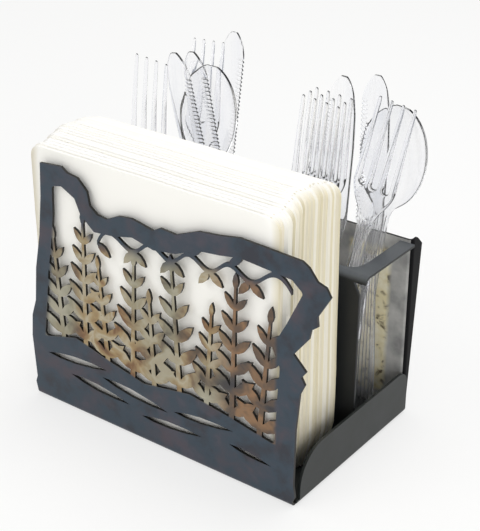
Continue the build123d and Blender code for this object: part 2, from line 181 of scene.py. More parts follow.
panelSteel, panelTree, panelSurface, panelShade, panelPlace = coatedSteel("heatTintedPanelSteel", panelPlan)
spot = addNode(panelTree, "ShaderNodeSeparateXYZ", {"Vector": panelPlace})
tintNoise = addNode(panelTree, "ShaderNodeTexNoise", {
    "Vector": panelPlace, "Scale": 1 / panelPlan["tintPatch"],
    "Detail": 3.0, "Roughness": 0.55, "Distortion": 0.4})
tintRamps = {}
for key in ("tints", "greys", "browns"):
    tintRamps[key] = addNode(panelTree, "ShaderNodeValToRGB", {"Fac": tintNoise.outputs["Fac"]})
    setRamp(tintRamps[key], panelPlan[key])

# grey patches run up the sprays, browns take over to the right, and a little rust mottles the border
greyPlace = addNode(panelTree, "ShaderNodeVectorMath", {0: panelPlace, 1: panelPlan["greyStretch"]},
                    operation="MULTIPLY")
greyNoise = addNode(panelTree, "ShaderNodeTexNoise", {
    "Vector": greyPlace.outputs["Vector"], "Scale": 1 / panelPlan["greyPatch"], "Detail": 1.0})
greyShare = addNode(panelTree, "ShaderNodeMapRange", {
    "Value": greyNoise.outputs["Fac"],
    "From Min": panelPlan["greyBand"][0], "From Max": panelPlan["greyBand"][1]})
greyed = addNode(panelTree, "ShaderNodeMix", {
    "Factor": greyShare.outputs["Result"],
    "A": tintRamps["tints"].outputs["Color"], "B": tintRamps["greys"].outputs["Color"]}, data_type="RGBA")
brownShare = addNode(panelTree, "ShaderNodeMapRange", {
    "Value": spot.outputs["X"], "To Max": panelPlan["brownMost"],
    "From Min": panelPlan["brownRight"][0], "From Max": panelPlan["brownRight"][1]},
    interpolation_type="SMOOTHSTEP")
browned = addNode(panelTree, "ShaderNodeMix", {
    "Factor": brownShare.outputs["Result"],
    "A": greyed.outputs["Result"], "B": tintRamps["browns"].outputs["Color"]}, data_type="RGBA")
rustShare = addNode(panelTree, "ShaderNodeMapRange", {
    "Value": tintNoise.outputs["Fac"], "To Max": panelPlan["rustMost"],
    "From Min": panelPlan["rustBand"][0], "From Max": panelPlan["rustBand"][1]})
mottled = addNode(panelTree, "ShaderNodeMix", {
    "Factor": rustShare.outputs["Result"],
    "A": panelShade.outputs["Color"], "B": hexColour(panelPlan["rust"])}, data_type="RGBA")


def heightOver(points):
    # how far a place on the panel lies above a line of (across, height) points, charted in millimetres
    (low, lowHeight), (high, highHeight) = points[0], points[-1]
    across = addNode(panelTree, "ShaderNodeMapRange", {
        "Value": spot.outputs["X"], "From Min": low * mm, "From Max": high * mm})
    chart = addNode(panelTree, "ShaderNodeFloatCurve", {"Value": across.outputs["Result"]})
    line = chart.mapping.curves[0]
    for x, height in points[1:-1]:
        line.points.new((x - low) / (high - low), height / panelPlan["chart"])
    line.points[0].location = (0.0, lowHeight / panelPlan["chart"])
    line.points[-1].location = (1.0, highHeight / panelPlan["chart"])
    for point in line.points:
        point.handle_type = "VECTOR"
    chart.mapping.update()
    over = addNode(panelTree, "ShaderNodeMath", {
        0: chart.outputs["Value"], 1: -panelPlan["chart"] * mm, 2: spot.outputs["Z"]},
        operation="MULTIPLY_ADD")
    return over.outputs["Value"]


# the left border leans, so its fade is measured from a slanted line; the ground and the top edge roll
fromLeft = addNode(panelTree, "ShaderNodeMath", {
    0: spot.outputs["Z"], 1: -panelPlan["leftSlant"], 2: spot.outputs["X"]}, operation="MULTIPLY_ADD")
tintMask = 1.0
for place, key, rising in ((heightOver(panelPlan["ground"]), "tintFoot", True),
                           (heightOver(panelPlan["ceiling"]), "tintTop", False),
                           (fromLeft.outputs["Value"], "tintLeft", True),
                           (spot.outputs["X"], "tintRight", False)):
    fade = addNode(panelTree, "ShaderNodeMapRange", {
        "Value": place, "From Min": panelPlan[key][0], "From Max": panelPlan[key][1],
        "To Min": 0.0 if rising else 1.0, "To Max": 1.0 if rising else 0.0}, interpolation_type="SMOOTHSTEP")
    tintMask = addNode(panelTree, "ShaderNodeMath", {0: tintMask, 1: fade.outputs["Result"]},
                       operation="MULTIPLY").outputs["Value"]
tinted = addNode(panelTree, "ShaderNodeMix", {
    "Factor": tintMask, "A": mottled.outputs["Result"], "B": browned.outputs["Result"]}, data_type="RGBA")
# painted shade: faces turned away from the front and back, the cut edges, are painted near-black
panelNormal = addNode(panelTree, "ShaderNodeSeparateXYZ", {
    "Vector": addNode(panelTree, "ShaderNodeTexCoord").outputs["Normal"]})
flatness = addNode(panelTree, "ShaderNodeMath", {0: panelNormal.outputs["Y"]}, operation="ABSOLUTE")
paintedEdgeShadeMask = addNode(panelTree, "ShaderNodeMapRange", {
    "Value": flatness.outputs["Value"], "To Min": 1.0, "To Max": 0.0,
    "From Min": panelPlan["edgeBand"][0], "From Max": panelPlan["edgeBand"][1]})
panelColour = addNode(panelTree, "ShaderNodeMix", {
    "Factor": paintedEdgeShadeMask.outputs["Result"],
    "A": tinted.outputs["Result"], "B": hexColour(panelPlan["shadedCutEdge"])}, data_type="RGBA")
panelTree.links.new(panelColour.outputs["Result"], panelSurface.inputs["Base Color"])

# The back wall: the plain coat behind, a near-black painted shade along its folded sides, and thin inside,
# where bare grey steel shows, with a tan heat stain and dark smudges behind the cutlery
wallPlan = steelPlan | {
    "shades": [(0.32, "0B0B0C"), (0.72, "141416")], "roughness": 0.4, "specular": 0.05,
    "rear": [(0.32, "292D2D"), (0.5, "31363A"), (0.72, "3E4240")], "flatOn": 0.8,
    "bare": [(0.3, "8F8F8E"), (0.7, "CECDC9")], "bareCloud": 12 * mm,
    "stain": [(0.36, "6A5E4C"), (0.43, "EADFB8"), (0.62, "FAF4DC")], "smudge": 9 * mm,
    "stainSpan": (50 * mm, 75 * mm), "stainRise": (9 * mm, 97 * mm), "stainFade": 1.5 * mm,
}
wallSteel, wallTree, wallSurface, wallSidesPaintedShade, wallPlace = coatedSteel("bareInsideSteel", wallPlan)
wallSpot = addNode(wallTree, "ShaderNodeSeparateXYZ", {"Vector": wallPlace})
wallNormal = addNode(wallTree, "ShaderNodeSeparateXYZ", {
    "Vector": addNode(wallTree, "ShaderNodeTexCoord").outputs["Normal"]})
inside = addNode(wallTree, "ShaderNodeMath", {0: wallNormal.outputs["Y"], 1: -wallPlan["flatOn"]},
                 operation="LESS_THAN").outputs["Value"]
behind = addNode(wallTree, "ShaderNodeMath", {0: wallNormal.outputs["Y"], 1: wallPlan["flatOn"]},
                 operation="GREATER_THAN").outputs["Value"]
rearShade = addNode(wallTree, "ShaderNodeValToRGB", {"Fac": wallSidesPaintedShade.inputs["Fac"].links[0].from_socket})
setRamp(rearShade, wallPlan["rear"])
# painted shade: the near-black shades cover the folded sides and cut edges; the rear face takes the plain
# coat
coated = addNode(wallTree, "ShaderNodeMix", {
    "Factor": behind, "A": wallSidesPaintedShade.outputs["Color"], "B": rearShade.outputs["Color"]}, data_type="RGBA")
bareNoise = addNode(wallTree, "ShaderNodeTexNoise", {
    "Vector": wallPlace, "Scale": 1 / wallPlan["bareCloud"], "Detail": 6.0})
bareShade = addNode(wallTree, "ShaderNodeValToRGB", {"Fac": bareNoise.outputs["Fac"]})
setRamp(bareShade, wallPlan["bare"])
smudge = addNode(wallTree, "ShaderNodeTexNoise", {
    "Vector": wallPlace, "Scale": 1 / wallPlan["smudge"], "Detail": 3.0, "Distortion": 0.6})
stainShade = addNode(wallTree, "ShaderNodeValToRGB", {"Fac": smudge.outputs["Fac"]})
setRamp(stainShade, wallPlan["stain"])
away = addNode(wallTree, "ShaderNodeMath", {0: wallSpot.outputs["X"]}, operation="ABSOLUTE").outputs["Value"]
stainMask = inside
for value, (low, high) in ((away, wallPlan["stainSpan"]), (wallSpot.outputs["Z"], wallPlan["stainRise"])):
    for start, reach in ((low, wallPlan["stainFade"]), (high, -wallPlan["stainFade"])):
        fade = addNode(wallTree, "ShaderNodeMapRange", {
            "Value": value, "From Min": start - reach, "From Max": start + reach})
        stainMask = addNode(wallTree, "ShaderNodeMath", {0: stainMask, 1: fade.outputs["Result"]},
                            operation="MULTIPLY").outputs["Value"]
bared = addNode(wallTree, "ShaderNodeMix", {
    "Factor": inside, "A": coated.outputs["Result"], "B": bareShade.outputs["Color"]}, data_type="RGBA")
stained = addNode(wallTree, "ShaderNodeMix", {
    "Factor": stainMask, "A": bared.outputs["Result"], "B": stainShade.outputs["Color"]}, data_type="RGBA")
wallTree.links.new(stained.outputs["Result"], wallSurface.inputs["Base Color"])
print("steel finishes made")


# The folded sheet keeps the solids' shape, with the cut edges eased
sheetPlan = {"weld": 0.002 * mm, "ease": 0.25 * mm, "steps": 2, "sharpAngle": 40, "flatWeight": 100}
sheetPieces = {
    "tray_sheet": ("tray", coat, "dark_steel"),
    "pierced_panel": ("front_panel", panelSteel, "tinted_steel"),
    "deck_sheet": ("cutlery_deck", deckCoatPaintedTopLight, "dark_steel"),
    "back_sheet": ("back_wall", wallSteel, "dark_steel"),
    "partition_sheet": ("centre_partition", coat, "dark_steel"),
}
for name, (node, finish, slot) in sheetPieces.items():
    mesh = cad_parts[node].data.copy()
    mesh.name = name
    mesh.materials.clear()
    mesh.materials.append(finish)
    shell = bmesh.new()
    shell.from_mesh(mesh)
    bmesh.ops.remove_doubles(shell, verts=shell.verts, dist=sheetPlan["weld"])
    for face in shell.faces:
        face.material_index = 0
        face.smooth = True
    shell.to_mesh(mesh)
    shell.free()
    piece = bpy.data.objects.new(name, mesh)
    scene.collection.objects.link(piece)
    ease = piece.modifiers.new("easedEdges", "BEVEL")
    ease.width = sheetPlan["ease"]
    ease.segments = sheetPlan["steps"]
    ease.limit_method = "ANGLE"
    ease.angle_limit = radians(sheetPlan["sharpAngle"])
    level = piece.modifiers.new("levelFaces", "WEIGHTED_NORMAL")
    level.mode = "FACE_AREA"
    level.weight = sheetPlan["flatWeight"]
    bakeModifiers(piece)
    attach(piece, "holder")
    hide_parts(node)
print("sheet steel finished")


# Tissue napkins: soft matt two-ply paper with a fine crepe, white on the faces; cream with painted shade on
# the side edges
napkinPlan = {
    "count": 24, "pitch": 2.11 * mm, "width": 158 * mm, "height": 150 * mm, "corner": 6.5 * mm,
    "leaf": 0.62 * mm, "open": 0.98 * mm, "front": -50.3 * mm, "foot": 1.9 * mm, "middle": -4 * mm,
    "columns": 20, "rows": 9, "cornerRows": 5, "foldSteps": 5,
    "seed": 7, "crown": 5.5 * mm, "stray": 1.6 * mm, "drift": (1.0, 0.12, 0.0),
    "wave": 1.5 * mm, "waveLength": 40 * mm, "waveStretch": (1.0, 0.35, 0.5), "waveReach": (2.0, 2.0, 0.0),
    "white": "FFFEFC", "cream": "FBF9F2", "edgeBand": (0.3, 0.9),
    "edges": [(0.0, "FBF8EC"), (0.45, "F3EAD2"), (0.8, "E6DBB8"), (1.0, "D6CAA4")],
    "crepe": 0.7 * mm, "crepeDepth": 0.1 * mm, "crepeShow": 0.15,
}
tissue, tissueTree = newMaterial("creamTissuePaper")
tissuePlace = addNode(tissueTree, "ShaderNodeTexCoord").outputs["Object"]
tissueTint = addNode(tissueTree, "ShaderNodeAttribute", attribute_name="napkinTint")
tissueShade = addNode(tissueTree, "ShaderNodeValToRGB", {"Fac": tissueTint.outputs["Fac"]})
setRamp(tissueShade, [(0.0, napkinPlan["white"]), (1.0, napkinPlan["cream"])])
creamEdgePaintedShade = addNode(tissueTree, "ShaderNodeValToRGB", {"Fac": tissueTint.outputs["Fac"]})
setRamp(creamEdgePaintedShade, napkinPlan["edges"])
tissueNormal = addNode(tissueTree, "ShaderNodeSeparateXYZ", {
    "Vector": addNode(tissueTree, "ShaderNodeTexCoord").outputs["Normal"]})
tissueSide = addNode(tissueTree, "ShaderNodeMath", {0: tissueNormal.outputs["X"]}, operation="ABSOLUTE")
# painted shade: side edges take a cream ramp, darker on some napkins, for the stack's shaded side and the
# gaps between leaves
edgeShare = addNode(tissueTree, "ShaderNodeMapRange", {
    "Value": tissueSide.outputs["Value"],
    "From Min": napkinPlan["edgeBand"][0], "From Max": napkinPlan["edgeBand"][1]})
tissueColour = addNode(tissueTree, "ShaderNodeMix", {
    "Factor": edgeShare.outputs["Result"],
    "A": tissueShade.outputs["Color"], "B": creamEdgePaintedShade.outputs["Color"]}, data_type="RGBA")
crepe = addNode(tissueTree, "ShaderNodeTexNoise", {
    "Vector": tissuePlace, "Scale": 1 / napkinPlan["crepe"], "Detail": 3.0})
crepeBump = addNode(tissueTree, "ShaderNodeBump", {
    "Height": crepe.outputs["Fac"],
    "Strength": napkinPlan["crepeShow"], "Distance": napkinPlan["crepeDepth"]})
tissueSurface = addNode(tissueTree, "ShaderNodeBsdfPrincipled", {
    "Base Color": tissueColour.outputs["Result"], "Roughness": 0.9, "Specular IOR Level": 0.2,
    "Sheen Weight": 0.15, "Normal": crepeBump.outputs["Normal"]})
addNode(tissueTree, "ShaderNodeOutputMaterial", {"Surface": tissueSurface.outputs["BSDF"]})


def foldedNapkin(plan):
    # one napkin: a sheet that runs up the front, over the fold and down the back
    half = plan["width"] / 2
    reach = plan["open"] / 2
    corner, footCorner = plan["corner"], plan["corner"] / 2
    level = plan["height"] - corner
    rises = [level * row / plan["rows"] for row in range(plan["rows"])]
    for row in range(plan["cornerRows"] + 1):
        rises.append(level + (corner - reach) * sin(pi / 2 * row / plan["cornerRows"]))
    path = [(-reach, rise) for rise in rises]
    for step in range(1, plan["foldSteps"]):
        turn = pi * step / plan["foldSteps"]
        path.append((-reach * cos(turn), plan["height"] - reach + reach * sin(turn)))
    path += [(reach, rise) for rise in reversed(rises)]
    sheet = bmesh.new()
    lines = []
    for depth, rise in path:
        nearTop = max(0.0, rise - level)
        nearFoot = max(0.0, footCorner - rise)
        inset = corner - sqrt(max(0.0, corner ** 2 - nearTop ** 2))
        inset += footCorner - sqrt(max(0.0, footCorner ** 2 - nearFoot ** 2))
        line = []
        for column in range(plan["columns"] + 1):
            across = (2 * column / plan["columns"] - 1) * (half - inset)
            line.append(sheet.verts.new((across, depth, rise)))
        lines.append(line)
    for lower, upper in zip(lines, lines[1:]):
        for column in range(plan["columns"]):
            sheet.faces.new((lower[column], lower[column + 1], upper[column + 1], upper[column]))
    mesh = bpy.data.meshes.new("napkin_leaves")
    sheet.to_mesh(mesh)
    sheet.free()
    return mesh


def stackTree():
    # repeats the napkin along the bay, each a little out of line, then waves the whole stack
    tree = bpy.data.node_groups.new("napkinStack", "GeometryNodeTree")
    face = tree.interface
    face.new_socket("Geometry", in_out="INPUT", socket_type="NodeSocketGeometry")
    for key, kind in (("Count", "Int"), ("Pitch", "Float"), ("Stray", "Float"), ("Crown", "Float"),
                      ("Wave", "Float"), ("Wave Scale", "Float"), ("Seed", "Int"),
                      ("Start", "Vector"), ("Paper", "Material")):
        face.new_socket(key, in_out="INPUT", socket_type="NodeSocket" + kind)
    face.new_socket("Geometry", in_out="OUTPUT", socket_type="NodeSocketGeometry")
    given = tree.nodes.new("NodeGroupInput").outputs
    step = addNode(tree, "ShaderNodeCombineXYZ", {"Y": given["Pitch"]})
    line = addNode(tree, "GeometryNodeMeshLine", {
        "Count": given["Count"], "Start Location": given["Start"], "Offset": step.outputs["Vector"]})
    copies = addNode(tree, "GeometryNodeInstanceOnPoints", {
        "Points": line.outputs["Mesh"], "Instance": given["Geometry"]})
    # napkins in the middle of the stack stand taller, as a crown
    index = addNode(tree, "GeometryNodeInputIndex").outputs["Index"]
    share = addNode(tree, "ShaderNodeMath", {0: index, 1: given["Count"]}, operation="DIVIDE")
    bow = addNode(tree, "ShaderNodeMath", {0: share.outputs["Value"], 1: pi}, operation="MULTIPLY")
    swell = addNode(tree, "ShaderNodeMath", {0: bow.outputs["Value"]}, operation="SINE")
    lift = addNode(tree, "ShaderNodeMath", {0: swell.outputs["Value"], 1: given["Crown"]},
                   operation="MULTIPLY")
    growth = addNode(tree, "ShaderNodeMath", {0: lift.outputs["Value"], 1: 1 / napkinPlan["height"], 2: 1.0},
                     operation="MULTIPLY_ADD")
    raised = addNode(tree, "ShaderNodeCombineXYZ", {"X": 1.0, "Y": 1.0, "Z": growth.outputs["Value"]})
    taller = addNode(tree, "GeometryNodeScaleInstances", {
        "Instances": copies.outputs["Instances"], "Scale": raised.outputs["Vector"]})
    drift = addNode(tree, "FunctionNodeRandomValue", {
        "Seed": given["Seed"], "Min": [-most for most in napkinPlan["drift"]], "Max": napkinPlan["drift"]},
        data_type="FLOAT_VECTOR")
    sideways = addNode(tree, "ShaderNodeVectorMath", {0: drift.outputs["Value"], "Scale": given["Stray"]},
                       operation="SCALE")
    moved = addNode(tree, "GeometryNodeTranslateInstances", {
        "Instances": taller.outputs["Instances"], "Translation": sideways.outputs["Vector"]})
    # each napkin keeps a random tint of its own
    tint = addNode(tree, "FunctionNodeRandomValue", {"Seed": given["Seed"]}, data_type="FLOAT")
    marked = addNode(tree, "GeometryNodeStoreNamedAttribute", {
        "Geometry": moved.outputs["Instances"], "Name": "napkinTint"}, data_type="FLOAT", domain="INSTANCE")
    valueSocket = [s for s in marked.inputs if s.name == "Value" and s.enabled][0]
    tintSocket = [s for s in tint.outputs if s.name == "Value" and s.enabled][0]
    tree.links.new(tintSocket, valueSocket)
    real = addNode(tree, "GeometryNodeRealizeInstances", {"Geometry": marked.outputs["Geometry"]})
    spotAt = addNode(tree, "GeometryNodeInputPosition").outputs["Position"]
    flat = addNode(tree, "ShaderNodeVectorMath", {0: spotAt, 1: napkinPlan["waveStretch"]},
                   operation="MULTIPLY")
    ripple = addNode(tree, "ShaderNodeTexNoise", {
        "Vector": flat.outputs["Vector"], "Scale": given["Wave Scale"], "Detail": 1.5})
    swing = addNode(tree, "ShaderNodeVectorMath", {0: ripple.outputs["Color"], 1: (0.5, 0.5, 0.5)},
                    operation="SUBTRACT")
    sized = addNode(tree, "ShaderNodeVectorMath", {0: swing.outputs["Vector"], "Scale": given["Wave"]},
                    operation="SCALE")
    wave = addNode(tree, "ShaderNodeVectorMath", {0: sized.outputs["Vector"], 1: napkinPlan["waveReach"]},
                   operation="MULTIPLY")
    waved = addNode(tree, "GeometryNodeSetPosition", {
        "Geometry": real.outputs["Geometry"], "Offset": wave.outputs["Vector"]})
    dressed = addNode(tree, "GeometryNodeSetMaterial", {
        "Geometry": waved.outputs["Geometry"], "Material": given["Paper"]})
    addNode(tree, "NodeGroupOutput", {"Geometry": dressed.outputs["Geometry"]})
    return tree


napkins = bpy.data.objects.new("napkin_leaves", foldedNapkin(napkinPlan))
scene.collection.objects.link(napkins)
thick = napkins.modifiers.new("leafThickness", "SOLIDIFY")
thick.thickness = napkinPlan["leaf"]
thick.offset = 0
stack = napkins.modifiers.new("napkinStack", "NODES")
stack.node_group = stackTree()
stackValues = {
    "Count": napkinPlan["count"], "Pitch": napkinPlan["pitch"], "Stray": napkinPlan["stray"],
    "Crown": napkinPlan["crown"], "Wave": napkinPlan["wave"], "Wave Scale": 1 / napkinPlan["waveLength"],
    "Seed": napkinPlan["seed"], "Paper": tissue,
    "Start": (napkinPlan["middle"], napkinPlan["front"] + napkinPlan["pitch"] / 2, napkinPlan["foot"]),
}
for item in stack.node_group.interface.items_tree:
    if item.in_out == "INPUT" and item.name in stackValues:
        stack[item.identifier] = stackValues[item.name]
bakeModifiers(napkins)
for polygon in napkins.data.polygons:
    polygon.use_smooth = True
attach(napkins, "napkins")
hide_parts("napkin_stack")
print("napkins stacked:", len(napkins.data.polygons), "faces")


# Clear polystyrene, injection moulded: glassy and water-clear at the working end, with cloudy flow marks, and
# faintly milky along the grained handle; the index is set a little low, which keeps the thin edges pale
plasticPlan = {
    "clear": "FDFDFE", "cloudy": "F6F7FA", "flow": 9 * mm, "flowStretch": (1.0, 1.0, 0.2), "ior": 1.5,
    "polish": (0.02, 0.06), "polishBand": (0.3, 0.7), "grain": 0.04, "milky": 0.88,
}
clearPlastic, plasticTree = newMaterial("clearPolystyrene")
plasticPlace = addNode(plasticTree, "ShaderNodeTexCoord").outputs["Object"]
stretched = addNode(plasticTree, "ShaderNodeVectorMath", {0: plasticPlace, 1: plasticPlan["flowStretch"]},
                    operation="MULTIPLY")
flow = addNode(plasticTree, "ShaderNodeTexNoise", {
    "Vector": stretched.outputs["Vector"], "Scale": 1 / plasticPlan["flow"], "Detail": 2.0})
flowShade = addNode(plasticTree, "ShaderNodeValToRGB", {"Fac": flow.outputs["Fac"]})
setRamp(flowShade, [(0.35, plasticPlan["clear"]), (0.65, plasticPlan["cloudy"])])
polish = addNode(plasticTree, "ShaderNodeMapRange", {
    "Value": flow.outputs["Fac"],
    "From Min": plasticPlan["polishBand"][0], "From Max": plasticPlan["polishBand"][1],
    "To Min": plasticPlan["polish"][0], "To Max": plasticPlan["polish"][1]})
grained = addNode(plasticTree, "ShaderNodeAttribute", attribute_name="handleGrain")
rough = addNode(plasticTree, "ShaderNodeMath", {
    0: grained.outputs["Fac"], 1: plasticPlan["grain"], 2: polish.outputs["Result"]},
    operation="MULTIPLY_ADD")
through = addNode(plasticTree, "ShaderNodeMapRange", {
    "Value": grained.outputs["Fac"], "To Min": 1.0, "To Max": plasticPlan["milky"]})
plasticSurface = addNode(plasticTree, "ShaderNodeBsdfPrincipled", {
    "Base Color": flowShade.outputs["Color"], "Roughness": rough.outputs["Value"],
    "IOR": plasticPlan["ior"], "Transmission Weight": through.outputs["Result"]})
addNode(plasticTree, "ShaderNodeOutputMaterial", {"Surface": plasticSurface.outputs["BSDF"]})

# Where each piece stands: its side of the rack, its shares across from the bridge and back from the divider,
# then its lean back and to the right in degrees
stance = {
    "fork_1": (-1, 0.851, 0.323, -3.7, 5.5), "knife_1": (-1, 0.088, 0.602, -5, -9.5),
    "knife_2": (-1, 0.081, 0.710, -5.2, -7), "spoon_1": (-1, 0.446, 0.40, 6, 1.2),
    "fork_2": (-1, 0.48, 0.53, 8.5, -3), "knife_3": (-1, 0.46, 0.64, 9, 0.6),
    "fork_3": (1, 0.703, 0.129, 7.3, 8), "fork_4": (1, 0.432, 0.292, -3.3, 5.4),
    "fork_5": (1, 0.459, 0.411, -3.1, 4.7), "fork_6": (1, 0.473, 0.529, -2.9, 4.3),
    "knife_4": (1, 0.527, 0.645, -0.9, 3.2), "knife_5": (1, 0.878, 0.645, 2.5, -1),
    "spoon_2": (1, 0.703, 0.806, 2, 7),
}
turnedKnives = ("knife_1", "knife_2", "knife_3")
# The rack's clear room in millimetres, from the bridge outwards and from the divider back
rackPlan = {"across": (6.0, 80.0), "back": (6.0, 52.5)}
handlePlan = {
    "end": 7.0, "floor": 1.8, "groove": 1.15, "fullHalf": 6.95, "plainFoot": 4.0, "plainNeck": 5.0,
    "sharpFrom": -2.0, "rimCrease": 0.9, "grainEnd": (102.0, 126.0),
}
handleEdge = [(-6.95, 1.6), (-6.2, 3.4), (-4.4, 5.5), (-1.5, 6.85), (8.0, 6.95)]


def straight(points, at):
    # value at a place along a line of (place, value) points
    if at <= points[0][0]:
        return points[0][1]
    for (a, low), (b, high) in zip(points, points[1:]):
        if at <= b:
            return low + (high - low) * (at - a) / (b - a)
    return points[-1][1]


def mouldedPiece(name, rows, skipped, levels, gripEnd, squareRims):
    # rows of (along, [(across, front, back), ...]) in millimetres make one closed moulding
    side, acrossShare, backShare, lean, roll = stance[name]
    lean, roll = radians(lean), radians(roll)
    axis = Vector((sin(roll), cos(roll) * sin(lean), cos(roll) * cos(lean)))
    facingOut = Vector((0, -cos(lean), sin(lean)))
    sideways = axis.cross(facingOut)
    (inner, outer), (near, far) = rackPlan["across"], rackPlan["back"]
    foot = Vector((side * (inner + acrossShare * (outer - inner)), near + backShare * (far - near),
                   handlePlan["floor"] + handlePlan["end"] + abs(sin(lean))))
    place = Matrix((sideways, axis, facingOut)).transposed()
    shell = bmesh.new()
    grain = shell.verts.layers.float.new("handleGrain")
    clearFrom, clearTo = handlePlan["grainEnd"]
    fronts, backs = [], []
    for along, line in rows:
        fronts.append([shell.verts.new((foot + place @ Vector((x, along, v))) * mm) for x, v, _ in line])
        backs.append([shell.verts.new((foot + place @ Vector((x, along, v))) * mm) for x, _, v in line])
        for vert in fronts[-1] + backs[-1]:
            vert[grain] = min(1.0, max(0.0, (clearTo - along) / (clearTo - clearFrom)))
    columns = len(rows[0][1]) - 1
    rims = []
    cells = {(r, c) for r in range(len(rows) - 1) for c in range(columns)} - skipped
    for r, c in sorted(cells):
        shell.faces.new((fronts[r][c], fronts[r][c + 1], fronts[r + 1][c + 1], fronts[r + 1][c]))
        shell.faces.new((backs[r + 1][c], backs[r + 1][c + 1], backs[r][c + 1], backs[r][c]))
        # a side wall closes each edge of a cell that has no cell beside it
        for beside, (ar, ac), (br, bc) in (
                ((r, c - 1), (r + 1, c), (r, c)), ((r, c + 1), (r, c + 1), (r + 1, c + 1)),
                ((r - 1, c), (r, c), (r, c + 1)), ((r + 1, c), (r + 1, c + 1), (r + 1, c))):
            if beside not in cells:
                shell.faces.new((fronts[br][bc], fronts[ar][ac], backs[ar][ac], backs[br][bc]))
                rims += [(wall[ar][ac], wall[br][bc]) for wall in (fronts, backs)]
    # grooves keep a sharp line along the back of the handle
    sharp = shell.edges.layers.float.new("crease_edge")
    for r in range(len(rows) - 1):
        if handlePlan["sharpFrom"] <= rows[r][0] and rows[r + 1][0] <= gripEnd:
            for c in range(1, columns):
                edge = shell.edges.get((backs[r][c], backs[r + 1][c]))
                edge[sharp] = 1.0
                edge.smooth = False
    if squareRims:
        for pair in rims:
            edge = shell.edges.get(pair)
            edge[sharp] = handlePlan["rimCrease"]
            edge.smooth = False
    loose = [v for v in shell.verts if not v.link_faces]
    bmesh.ops.delete(shell, geom=loose, context="VERTS")
    bmesh.ops.recalc_face_normals(shell, faces=shell.faces)
    mesh = bpy.data.meshes.new(name + "_clear")
    shell.to_mesh(mesh)
    shell.free()
    mesh.materials.append(clearPlastic)
    for polygon in mesh.polygons:
        polygon.use_smooth = True
    piece = bpy.data.objects.new(name + "_clear", mesh)
    scene.collection.objects.link(piece)
    smooth = piece.modifiers.new("moulded", "SUBSURF")
    smooth.levels = smooth.render_levels = levels
    bakeModifiers(piece)
    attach(piece, name + "_body")
    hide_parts(name)
    return piece


def gripLine(half, along, length, thickness, columns):
    # one row of a handle: a flat front, and V grooves along the back that throw the light forward
    grooved = handlePlan["plainFoot"] < along < length - handlePlan["plainNeck"]
    depth = handlePlan["groove"] * half / handlePlan["fullHalf"] if grooved else 0.0
    line = []
    for column in range(columns):
        sunk = depth if column % 2 == 0 and 0 < column < columns - 1 else 0.0
        line.append(((2 * column / (columns - 1) - 1) * half, thickness / 2, -thickness / 2 + sunk))
    return line


forkPlan = {
    "top": 180.0, "root": 134.0, "neck": 122.0, "thickness": 1.7, "rounds": 2,
    "tinePlaces": (-10.5, -3.5, 3.5, 10.5), "ridge": ((-1.0, 0.6), (-0.2, 1.0), (1.0, 0.12)),
    "tineHalf": 1.95, "tipHalf": 1.0, "tipPinch": 0.95, "tipThin": 0.3,
    "edge": handleEdge + [(27, 6.7), (48, 5.7), (75, 4.6), (100, 3.9), (112, 3.9), (121, 5.2), (125, 8.3),
                          (130, 11.1), (134, 12.2)],
    "bow": [(0, 0), (63, 0), (101, 0.6), (133, 0.24), (158, -0.84), (180, -2.6)],
    "tineRows": (135.2, 139, 148, 158, 168, 175, 179.4),
    "lines": (-1.0, -0.87, -0.68, -0.44, -0.31, -0.12, 0.12, 0.25, 0.44, 0.68, 0.81, 1.0),
}


def makeFork(name):
    plan = forkPlan
    rows = []
    for along, half in plan["edge"]:
        line = gripLine(half, along, plan["neck"], plan["thickness"], len(plan["lines"]))
        if along > plan["neck"]:
            line = [(share * half, front, back) for share, (_, front, back) in zip(plan["lines"], line)]
        bow = straight(plan["bow"], along)
        rows.append((along, [(x, bow + front, bow + back) for x, front, back in line]))
    firstTine = len(rows) - 1
    for along in plan["tineRows"]:
        out = (along - plan["root"]) / (plan["top"] - plan["root"])
        half = plan["tineHalf"] + (plan["tipHalf"] - plan["tineHalf"]) * out
        pinch = 1 + (plan["tipPinch"] - 1) * out
        bow = straight(plan["bow"], along)
        thin = plan["thickness"] / 2 * (1 - plan["tipThin"] * out)
        line = []
        for middle in plan["tinePlaces"]:
            for share, body in plan["ridge"]:
                line.append((middle * pinch + half * share, bow + thin * body, bow - thin * body))
        rows.append((along, line))
    # the cells between one tine and the next are left open
    perTine = len(plan["ridge"])
    gaps = [perTine * tine - 1 for tine in range(1, len(plan["tinePlaces"]))]
    skipped = {(row, gap) for row in range(firstTine, len(rows) - 1) for gap in gaps}
    return mouldedPiece(name, rows, skipped, plan["rounds"], plan["neck"], False)


knifePlan = {
    "heel": 93.0, "thickness": 2.0, "rounds": 1, "bladeRun": 14.0,
    "toothStart": 107.5, "toothEnd": 172.0, "tooth": 0.8, "pitch": 2.2, "toothReach": 0.18, "scallop": 0.6,
    "edgeShare": 0.7, "flatShare": 0.88, "flatFrom": 0.55, "spine": 0.4,
    "back": [(93, 3.8), (99, 5.4), (106, 7.0), (148, 7.6), (166, 7.0), (178, 5.1), (183.5, 2.2), (185, 0.4)],
    "cut": [(93, -3.8), (100, -6.6), (107.5, -9.2), (172, -9.2), (178, -7.6), (183, -4.6), (185, -2.6)],
    "heelRows": [93, 96.5, 100, 104], "tipRows": [174.5, 178, 181, 183.5, 184.8],
    "grip": handleEdge + [(25, 6.7), (45, 5.6), (65, 4.6), (84, 3.9)],
    "lines": (0.0, 0.06, 0.13, 0.21, 0.3, 0.4, 0.5, 0.6, 0.7, 0.79, 0.87, 0.94, 1.0),
}


